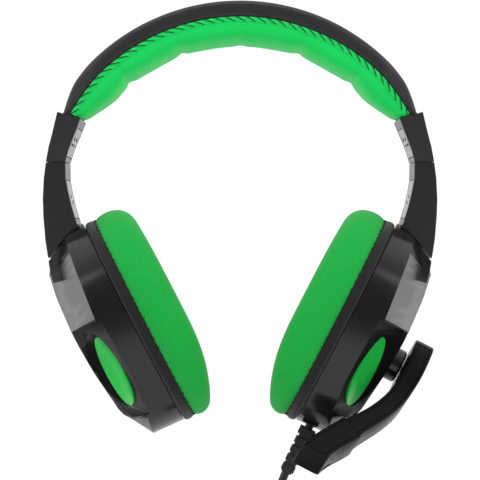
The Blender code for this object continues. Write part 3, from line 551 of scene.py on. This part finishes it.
def make_pad(side):
    tag = "left" if side < 0 else "right"
    body = tag + "_cup"
    profile = smooth_loop(PAD_OUT, 3)
    rows, hold = [], []
    for i in range(COLS):
        t = 2 * math.pi * (i + 0.5) / COLS
        pucker = ripple(t, ((61, 0.55), (47, 0.35), (83, 0.25), (29, 0.25)))
        end = abs(math.cos(t)) ** 3
        for a, w in profile:
            seam = math.exp(-((w + 6.2) / 2.4) ** 2) * float(a > 34)
            inner = math.exp(-((w + 8.0) / 4.0) ** 2) * float(a < 24)
            a2 = a + pucker * (0.42 * seam + 0.25 * inner) * (0.6 + 0.6 * end)
            b2 = 47.8 + (a2 - 38.0) * (0.92 if a2 > 38 else 1.0) - 0.4
            thin = 1.25 - (0.05 if math.cos(t) > 0 else 0.46) * end
            w2 = SEAM_W + (w + 6.2) * thin
            u, v = oval(t, a2, b2)
            v *= 0.955 if v > 0 else 0.985
            rows.append(cup(u, v, w2))
            hold.append(1.0 if w > -6.6 else (0.35 * seam))
    m = len(profile)
    pts = to_world(rows, side)
    pad = mesh_object(tag + "_pad_cover", pts, grid_faces(COLS, m, close_rows=True), body)
    widest = [cup(*oval(2 * math.pi * (i + 0.5) / COLS, 38.0, 45.5), -12.0) for i in range(COLS)]
    along = lengths(widest, cell=0.0042)
    weave_map(pad, COLS, m, along, lengths([(a, w, 0) for a, w in profile]))
    puff(pad, 12, 3.0, 0.9, hold)
    sub = pad.modifiers.new("fine", "SUBSURF")
    sub.levels = sub.render_levels = 1
    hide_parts(tag + "_ear_pad")
    paint(pad, LOOK["green_cloth"])

    # black mesh ring between the cup and the pad
    ring = smooth_line([(36.5, -0.15), (38.2, -0.5), (39.2, -1.7), (39.4, -3.3), (39.0, -4.9),
                        (38.0, -5.9), (36.8, -6.2), (33.0, -6.25)], 4)
    ring = np.vstack([ring, smooth_line([(28.0, -6.2), (27.2, -5.6), (27.2, -0.6),
                                         (28.0, -0.15)], 3)])
    rows = []
    for i in range(COLS):
        t = 2 * math.pi * (i + 0.5) / COLS
        pucker = ripple(t, ((61, 0.55), (47, 0.35), (83, 0.25), (29, 0.25)))
        for a, w in ring:
            near = math.exp(-((w + 6.2) / 1.6) ** 2) * float(a > 34)
            a2 = a - 0.30 * pucker * near
            u, v = oval(t, a2, 47.8 + (a2 - 38.0) * 0.62)
            v *= 0.967 if v > 0 else 1.0
            rows.append(cup(u, v, w * SEAM_W / -6.2))
    base = mesh_object(tag + "_pad_band", to_world(rows, side),
                       grid_faces(COLS, len(ring), close_rows=True), body)
    weave_map(base, COLS, len(ring), along, lengths([(a, w, 0) for a, w in ring]))
    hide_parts(tag + "_pad_base")
    paint(base, LOOK["black_cloth"])

    # the puckered whip seam where green meets black
    verts, faces = [], []
    stitches = 78
    for k in range(stitches):
        t = 2 * math.pi * (k + 0.5) / stitches
        line = []
        for f in np.linspace(0, 1, 5):
            tt = t + (f - 0.5) * 0.022
            a = 38.35 + 0.55 * math.sin(math.pi * f)
            u, v = oval(tt, a + 0.15, 47.8 + (a - 38.0) * 0.8)
            v *= 0.960 if v > 0 else 0.99
            line.append(cup(u, v, SEAM_W + 0.9 - 2.0 * f))
        add_thread(verts, faces, line, 0.17)
    seam = mesh_object(tag + "_pad_seam", to_world(verts, side), faces, body)
    paint(seam, LOOK["thread"])


def add_thread(verts, faces, line, radius, sides=6):
    """A short round thread along line, with pointed ends."""
    line = [np.array(p, float) for p in line]
    first = len(verts)
    for k, p in enumerate(line):
        d = line[min(k + 1, len(line) - 1)] - line[max(k - 1, 0)]
        d /= np.linalg.norm(d)
        side_dir = np.cross(d, (0.31, 0.72, 0.62))
        side_dir /= np.linalg.norm(side_dir)
        up = np.cross(d, side_dir)
        r = radius * (0.55 if k in (0, len(line) - 1) else 1.0)
        for j in range(sides):
            t = 2 * math.pi * j / sides
            verts.append(tuple(p + r * (math.cos(t) * side_dir + math.sin(t) * up)))
    for k in range(len(line) - 1):
        for j in range(sides):
            a, b = first + k * sides + j, first + k * sides + (j + 1) % sides
            faces.append((a, b, b + sides, a + sides))
    faces.append(tuple(range(first, first + sides)))
    last = first + (len(line) - 1) * sides
    faces.append(tuple(range(last + sides - 1, last - 1, -1)))


LOOK["thread"] = plastic("thread", (0.010, 0.010, 0.010), 0.6, 1.5, 0.1)
for side in (-1, 1):
    make_pad(side)


# ---------------------------------------------------------------- headband
BAND_R, SEAM_R = 90.4, 83.4


def tuck(deg):
    return float(np.clip((abs(deg) - 51.0) / 9.0, 0, 1))


def band_r(deg):
    return BAND_R - 0.35 * float(np.clip(abs(deg) / 50.0, 0, 1)) ** 3 - 2.75 * tuck(deg) ** 1.4


def band_y(deg):
    t = float(np.clip((abs(deg) - 44.0) / 14.5, 0, 1))
    return 18.0 - 6.6 * t * t * (3 - 2 * t)


def seam_r(deg):
    return SEAM_R + 0.9 * float(np.clip((abs(deg) - 20.0) / 38.0, 0, 1)) ** 1.5


def underside(deg):
    x = abs(deg)
    crease = (0.45 * math.exp(-(x / 1.6) ** 2) + 1.0 * math.exp(-((x - 20.0) / 1.5) ** 2)
              + 1.1 * math.exp(-((x - 40.0) / 1.6) ** 2))
    broad = (0.2 * math.exp(-(x / 5.0) ** 2) + 0.7 * math.exp(-((x - 20.0) / 5.5) ** 2)
             + 0.9 * math.exp(-((x - 40.0) / 6.0) ** 2))
    end = float(np.clip((x - 46.0) / 13.5, 0, 1))
    return 73.5 + crease + broad + 5.6 * end ** 1.6, (crease + 0.5 * broad) / 1.6


cover_rows = []
cover_at = np.linspace(-61.4, 61.4, 150)
for deg in cover_at:
    h, r, low = band_y(deg), band_r(deg), seam_r(deg) + 0.25
    section = [(-h + 0.5, low - 0.1), (-h + 0.05, low + 0.5), (-h, low + 1.6), (-h, r - 2.2),
               (-h + 0.35, r - 1.1), (-h + 1.1, r - 0.35), (-h + 2.2, r - 0.02)]
    top = [(y * (h - 2.2), r + 0.25 * (1 - y * y)) for y in np.linspace(-0.8, 0.8, 9)]
    section = section + top + [(-y, rr) for y, rr in reversed(section)]
    inner = [(h - 1.9, low), (h - 1.9, r - 2.0), (0, r - 2.0), (-h + 1.9, r - 2.0),
             (-h + 1.9, low)]
    cover_rows += [arc(deg, rr, y) for y, rr in section + inner]
cols = len(section) + len(inner)
faces = grid_faces(len(cover_at), cols)
faces.append(tuple(range(cols)))
faces.append(tuple(range(len(cover_rows) - 1, len(cover_rows) - 1 - cols, -1)))
cover = mesh_object("headband_leather", to_world(cover_rows), faces, "headband", angle=50)
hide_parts("headband_cover")
paint(cover, LOOK["leatherette"])

cushion_rows, hold = [], []
cushion_at = np.linspace(-59.5, 59.5, 300)
ACROSS = 22
for deg in cushion_at:
    h = band_y(deg) - 0.7
    low, crease = underside(deg)
    top = seam_r(deg) - 0.25
    last = min(1.0, (59.5 - abs(deg)) / 2.2) ** 0.5 if abs(deg) < 59.5 else 0.0
    depth = (top - low) * (0.72 + 0.28 * last)
    ring = [(-h * 0.98, top)]
    for k in range(ACROSS + 1):
        t = math.pi * k / ACROSS
        c, s = math.cos(t), math.sin(t)
        y = -(h + 0.5 - 0.5 * crease) * math.copysign(abs(c) ** 0.62, c)
        r = top - 1.2 - (depth - 1.2) * abs(s) ** 0.62
        # small gathers run out from each sewn channel
        r += 0.22 * crease * math.sin(y * 2.1 + deg) * abs(s)
        ring.append((y, r))
    ring.append((h * 0.98, top))
    cushion_rows += [arc(deg, r, y) for y, r in ring]
    hold += [1.0] + [0.9 if k in (0, ACROSS) else min(1.0, crease * 0.8) for k in
                     range(ACROSS + 1)] + [1.0]
cols = ACROSS + 3
faces = grid_faces(len(cushion_at), cols)
faces.append(tuple(range(cols)))
faces.append(tuple(range(len(cushion_rows) - 1, len(cushion_rows) - 1 - cols, -1)))
cushion = mesh_object("headband_pad", to_world(cushion_rows), faces, "headband", angle=60)
puff(cushion, 12, 2.0, 0.7, hold)
sub = cushion.modifiers.new("fine", "SUBSURF")
sub.levels = sub.render_levels = 1
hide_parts("headband_cushion")
# The cushion's green carries painted light from below.
paint(cushion, LOOK["green_smooth_with_painted_light"])

# green welt along both edges, and the black whipstitches over it
for face, sign in (("front", -1), ("back", 1)):
    rows = []
    at = np.linspace(-59.4, 59.4, 200)
    for deg in at:
        h, r = band_y(deg), seam_r(deg)
        for y, rr in ((h - 1.2, r - 0.05), (h - 0.1, r - 0.15), (h + 0.25, r - 0.9),
                      (h + 0.25, r - 1.7), (h - 0.05, r - 2.45), (h - 0.5, r - 2.7),
                      (h - 1.4, r - 2.6)):
            rows.append(arc(deg, rr, sign * y))
    faces = grid_faces(len(at), 7)
    faces += [tuple(range(7)), tuple(range(len(rows) - 1, len(rows) - 8, -1))]
    welt = mesh_object("welt_" + face, to_world(rows), faces, "headband", angle=60)
    # The welt's green carries the same painted light from below.
    paint(welt, LOOK["green_smooth_with_painted_light"])
    verts, faces = [], []
    step = math.degrees(4.5 / SEAM_R)
    for k in range(-19, 20):
        deg = k * step
        lean = math.degrees(4.9 / SEAM_R)
        line = []
        for f in np.linspace(0, 1, 7):
            d = deg + (f - 0.5) * lean
            h, r = band_y(d), seam_r(d) + 0.35 - 2.6 * f
            line.append(arc(d, r, sign * (h + 0.10 + 0.42 * math.sin(math.pi * f) ** 0.6)))
        add_thread(verts, faces, line, 0.23)
    threads = mesh_object("whipstitch_" + face, to_world(verts), faces, "headband")
    paint(threads, LOOK["thread"])


# ---------------------------------------------------------------- moulded parts with rounded edges
owner = {name: body for body, names in frame["record"]["behaviour"]["bodies"].items()
         for name in names}
slots = {entry["node"]: entry["material_slot"] for entry in frame["record"]["subparts"]}


def refine(name, width=0.35, sharp=32.0, segments=2, look=None, cuts=()):
    """A copy of a moulded node whose sharp edges are broken by a small radius."""
    source = frame["nodes"][name]
    mesh = source.data.copy()
    mesh.name = name + "_skin"
    work = bmesh.new()
    work.from_mesh(mesh)
    bmesh.ops.remove_doubles(work, verts=work.verts, dist=2e-6)
    bmesh.ops.dissolve_limit(work, angle_limit=math.radians(0.6), verts=work.verts,
                             edges=work.edges)
    for at, normal in cuts:
        bmesh.ops.bisect_plane(work, geom=work.verts[:] + work.edges[:] + work.faces[:],
                               dist=1e-6, plane_co=at, plane_no=normal)
    work.to_mesh(mesh)
    work.free()
    obj = bpy.data.objects.new(name + "_skin", mesh)
    scene.collection.objects.link(obj)
    mesh.shade_smooth()
    mesh.set_sharp_from_angle(angle=math.radians(sharp))
    if width:
        mod = obj.modifiers.new("edges", "BEVEL")
        mod.width = width * MM
        mod.segments = segments
        mod.limit_method = "ANGLE"
        mod.angle_limit = math.radians(sharp)
        mod.harden_normals = True
        mod.use_clamp_overlap = True
        mod.miter_outer = "MITER_ARC"
    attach(obj, owner[name])
    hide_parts(name)
    paint(obj, look or LOOK[slots[name]])
    return obj


# Copies of one black plastic with the same colour; only their reflection changes. Round the dish it
# barely reflects (painted shade), at the top and bottom of the face it is dimmed (painted half shade),
# and on the upper panel it reflects strongly (painted highlight).
LOOK["gloss_painted_shade"] = plastic("gloss_painted_shade", (0.0085, 0.0083, 0.0083), 0.22, 0.0, 0.04)
LOOK["gloss_painted_shade"].node_tree.nodes["Principled BSDF"].inputs[
    "Specular IOR Level"].default_value = 0.02
LOOK["gloss_painted_half_shade"] = plastic("gloss_painted_half_shade", (0.0085, 0.0083, 0.0083), 0.24, 0.0, 0.04)
LOOK["gloss_painted_half_shade"].node_tree.nodes["Principled BSDF"].inputs[
    "Specular IOR Level"].default_value = 0.09
LOOK["panel"] = plastic("panel", (0.0085, 0.0083, 0.0083), 0.29, 0.4, 0.02)
LOOK["panel"].node_tree.nodes["Principled BSDF"].inputs[
    "Specular IOR Level"].default_value = 0.75


def face_finish(obj, side):
    """The cup's outer face in copies of one black plastic that differ only in reflection: a painted
    highlight on the fine-grained upper panel, painted shade round the dish, and half painted shade at the
    top and bottom.
    """
    obj.data.materials.append(LOOK["gloss_painted_shade"])
    obj.data.materials.append(LOOK["panel"])
    obj.data.materials.append(LOOK["gloss_painted_half_shade"])
    for poly in obj.data.polygons:
        p = np.array(poly.center) / MM
        n = np.array(poly.normal)
        if side > 0:
            p[0], n[0] = -p[0], -n[0]
        p[2] += CROWN
        d = p - CUP_O
        u, v, w = float(d @ U_AX), float(d @ V_AX), float(d @ W_AX)
        facing = float(n @ W_AX)
        if w > 8.0 and facing > 0.2 and 0.96 * (v - 37.8) + 0.28 * (w - 10.5) > 0.0:
            poly.material_index = 3
        elif w > 13.5 and facing > 0.4 and v > 7.4:
            poly.material_index = 2
        elif w > 9.0 and u > -5.5 and -38.0 < v < 7.8 and facing > 0.2:
            poly.material_index = 1
        elif w > 9.0 and v < -34.0 and facing > 0.2:
            poly.material_index = 3


for side, tag in ((-1, "left"), (1, "right")):
    edge = to_world([cup(0, 37.8, 10.5)], side)[0]
    across = 0.96 * V_AX + 0.28 * W_AX
    across[0] *= 1 if side < 0 else -1
    face_finish(refine(tag + "_cup_shell", 0.3, cuts=[(edge, across)]), side)
    for part, width in (("end_cap", 0.4), ("arm_shell", 0.4), ("end_cap_plate", 0.25),
                        ("arm_cover", 0.25), ("dish", 0.2)):
        refine(tag + "_" + part, width)
for name, width in (("mic_hub", 0.3), ("strain_relief", 0.3)):
    refine(name, width)


# ---------------------------------------------------------------- the microphone boom's moulding
HUB = (-13.0, -7.5)
LEAN = math.radians(42.0)
BOOM_R = np.array([-14, 0, 11, 21, 33, 44, 52, 60, 72, 78], float)
BOOM_W = np.array([35.9, 35.9, 35.6, 34.0, 29.5, 23.6, 19.4, 15.0, 10.5, 8.6])
STATIONS = np.array([(-10.8, 8.4, 3.9), (-10.2, 10.0, 4.35), (-7.5, 11.7, 4.4), (-4.0, 12.3, 4.4),
                     (0.0, 12.4, 4.4), (5.0, 11.6, 4.4), (10.0, 9.8, 4.3), (15.0, 8.2, 4.2),
                     (20.0, 7.4, 4.2), (26.0, 6.9, 4.2), (32.0, 6.8, 4.2), (37.0, 6.8, 4.2),
                     (42.0, 6.95, 4.4), (46.8, 7.2, 4.8), (46.85, 6.9, 4.3), (47.35, 6.9, 4.3),
                     (47.4, 8.0, 5.6), (52.0, 8.1, 5.7), (57.0, 8.1, 5.7), (62.0, 8.0, 5.7),
                     (66.5, 7.95, 5.65), (66.9, 7.6, 5.3)])


def eased(x):
    slope = np.gradient(BOOM_W, BOOM_R)
    k = int(np.clip(np.searchsorted(BOOM_R, x) - 1, 0, len(BOOM_R) - 2))
    d = BOOM_R[k + 1] - BOOM_R[k]
    t = (x - BOOM_R[k]) / d
    return float(BOOM_W[k] * (1 + 2 * t) * (1 - t) ** 2 + slope[k] * d * t * (1 - t) ** 2
                 + BOOM_W[k + 1] * t * t * (3 - 2 * t) + slope[k + 1] * d * t * t * (t - 1))


def boom_at(r, s, n):
    """r along the boom, s across it, n outward from its mid surface; model mm, -X side."""
    slope = eased(r + 0.5) - eased(r - 0.5)
    size = math.hypot(1, slope)
    square = float(np.clip((r - 47.6) / 16.0, 0, 1))
    along = r - (1 - square) * n * slope / size
    return cup(HUB[0] + along * math.sin(LEAN) + s * math.cos(LEAN),
               HUB[1] - along * math.cos(LEAN) + s * math.sin(LEAN),
               eased(r) + n * ((1 - square) / size + square * 1.05))


def section(h, t):
    """The boom's outline: flat faces, small chamfers and a fine parting groove near each edge."""
    right = []
    for g in (-t + 1.6, t - 1.5):
        right += [(h, g - 0.16), (h - 0.28, g), (h, g + 0.16)]
    side = [(h - 1.0, -t), (h - 0.4, -t + 0.22), (h, -t + 0.9)] + right + [
        (h, t - 0.7), (h - 0.3, t - 0.18), (h - 0.8, t)]
    return side + [(-s, n) for s, n in reversed(side)]


rows_r = sorted(set(list(np.arange(-9.6, 66.4, 1.3)) + list(STATIONS[:, 0])))
rows_r = [r for r in rows_r if not (46.0 < r < 48.2) or r in STATIONS[:, 0]]
rings = []
for r in rows_r:
    h = float(np.interp(r, STATIONS[:, 0], STATIONS[:, 1]))
    t = float(np.interp(r, STATIONS[:, 0], STATIONS[:, 2]))
    rings += [boom_at(r, s, n) for s, n in section(h, t)]
cols = len(section(5, 5))
faces = grid_faces(len(rows_r), cols)
faces.append(tuple(range(cols)))
faces.append(tuple(range(len(rings) - 1, len(rings) - 1 - cols, -1)))
moulding = mesh_object("mic_boom_moulding", to_world(rings, 1), faces, "mic_boom", angle=24)
mod = moulding.modifiers.new("edges", "BEVEL")
mod.width, mod.segments = 0.12 * MM, 1
mod.limit_method, mod.angle_limit = "ANGLE", math.radians(40)
mod.harden_normals = True
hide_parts("mic_boom_outer", "mic_boom_inner")
LOOK["boom_black"] = plastic("boom_black", (0.0085, 0.0083, 0.0083), 0.22, 0.0, 0.04)
LOOK["boom_black"].node_tree.nodes["Principled BSDF"].inputs[
    "Specular IOR Level"].default_value = 0.07
paint(moulding, LOOK["boom_black"])


def boom_disc(name, r0, s0, profile, mat, long=0.0, steps=28):
    """A small turned detail set on the boom; profile pairs are (radius, n)."""
    verts, faces = [], []
    for radius, n in profile:
        for k in range(steps):
            a = 2 * math.pi * k / steps
            c = math.cos(a)
            stretch = math.copysign(long, c) if long else 0.0
            verts.append(boom_at(r0 + radius * c + stretch, s0 + radius * math.sin(a), n))
    for j in range(len(profile) - 1):
        for k in range(steps):
            a, b = j * steps + k, j * steps + (k + 1) % steps
            faces.append((a, b, b + steps, a + steps))
    faces.append(tuple(range(steps)))
    last = (len(profile) - 1) * steps
    faces.append(tuple(range(last + steps - 1, last - 1, -1)))
    obj = mesh_object(name, to_world(verts, 1), faces, "mic_boom", angle=35)
    return paint(obj, mat)


grille = boom_disc("mic_mesh", 57.6, 0.0, [(3.2, -4.0), (3.9, -5.55), (3.9, -5.85), (3.6, -6.0),
                                           (3.1, -5.95), (2.9, -5.8)], LOOK["black_mesh"])
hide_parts("mic_grille")
# Near-black, barely reflecting plugs stand in for the shade inside the pinholes and the switch slot:
# painted shade, not openings.
LOOK["hole_painted_shade"] = plastic("hole_painted_shade", (0.002, 0.002, 0.002), 0.8, 0.0, 0.02)
LOOK["hole_painted_shade"].node_tree.nodes["Principled BSDF"].inputs["Specular IOR Level"].default_value = 0.05
boom_disc("mic_pinhole_1", 52.5, 3.0, [(0.55, 4.8), (0.55, 5.72)], LOOK["hole_painted_shade"],
          steps=16)
boom_disc("mic_pinhole_2", 61.0, -1.0, [(0.55, 4.8), (0.55, 5.72)], LOOK["hole_painted_shade"],
          steps=16)
boom_disc("mic_switch_slot", 62.5, -5.2, [(0.55, 4.8), (0.55, 5.72)], LOOK["hole_painted_shade"],
          long=2.2, steps=20)


# ---------------------------------------------------------------- light, backdrop and floor
world = bpy.data.worlds.new("studio")
scene.world = world
world.use_nodes = True
wt = world.node_tree
direction = wt.nodes.new("ShaderNodeTexCoord").outputs["Generated"]
split = wt.nodes.new("ShaderNodeSeparateXYZ")
wt.links.new(direction, split.inputs[0])
level = wt.nodes.new("ShaderNodeMapRange")
level.interpolation_type = "SMOOTHSTEP"
level.inputs["From Min"].default_value = -0.75
level.inputs["From Max"].default_value = -0.15
level.inputs["To Min"].default_value = 0.15
level.inputs["To Max"].default_value = 1.1
wt.links.new(split.outputs[1], level.inputs["Value"])
wt.links.new(level.outputs[0], wt.nodes["Background"].inputs["Strength"])
wt.nodes["Background"].inputs["Color"].default_value = (1.0, 1.0, 1.0, 1.0)


def softbox(name, at, target, size, watts):
    data = bpy.data.lights.new(name, "AREA")
    data.shape = "RECTANGLE"
    data.size, data.size_y = size
    data.energy = watts
    obj = bpy.data.objects.new(name, data)
    scene.collection.objects.link(obj)
    obj.location = at
    obj.rotation_euler = (Vector(target) - Vector(at)).to_track_quat("-Z", "Y").to_euler()
    return obj


softbox("key_left", (-0.75, -0.70, 0.35), (0, 0, -0.09), (0.5, 0.5), 3.0)
softbox("key_right", (0.75, -0.70, 0.35), (0, 0, -0.09), (0.5, 0.5), 3.0)
softbox("top", (0.0, -0.35, 0.9), (0, 0, -0.05), (0.9, 0.6), 2.5)



def studio_white(name, albedo, glow):
    mat, tree, bsdf = new_material(name)
    soft = noise(tree, 1.5, 2.0, 0.5, object_coords(tree))
    tree.links.new(mix_color(tree, soft, (albedo * 0.99,) * 3, (albedo,) * 3),
                   bsdf.inputs["Base Color"])
    bsdf.inputs["Roughness"].default_value = 0.95
    bsdf.inputs["Specular IOR Level"].default_value = 0.1
    bsdf.inputs["Emission Color"].default_value = (1.0, 1.0, 1.0, 1.0)
    bsdf.inputs["Emission Strength"].default_value = glow
    return mat


def plane(name, corners, mat):
    mesh = bpy.data.meshes.new(name)
    mesh.from_pydata(corners, [], [(0, 1, 2, 3)])
    obj = bpy.data.objects.new(name, mesh)
    scene.collection.objects.link(obj)
    mesh.materials.append(mat)
    return obj


floor_z = cad_box[0][2] - 0.012
plane("floor", [(-3, -3, floor_z), (3, -3, floor_z), (3, 0.70, floor_z), (-3, 0.70, floor_z)],
      studio_white("floor_white", 0.6, 0.20))
plane("backdrop", [(-3, 0.70, floor_z), (3, 0.70, floor_z), (3, 0.70, 2.5), (-3, 0.70, 2.5)],
      studio_white("backdrop_white", 0.2, 0.88))
scene.view_settings.view_transform = "Standard"
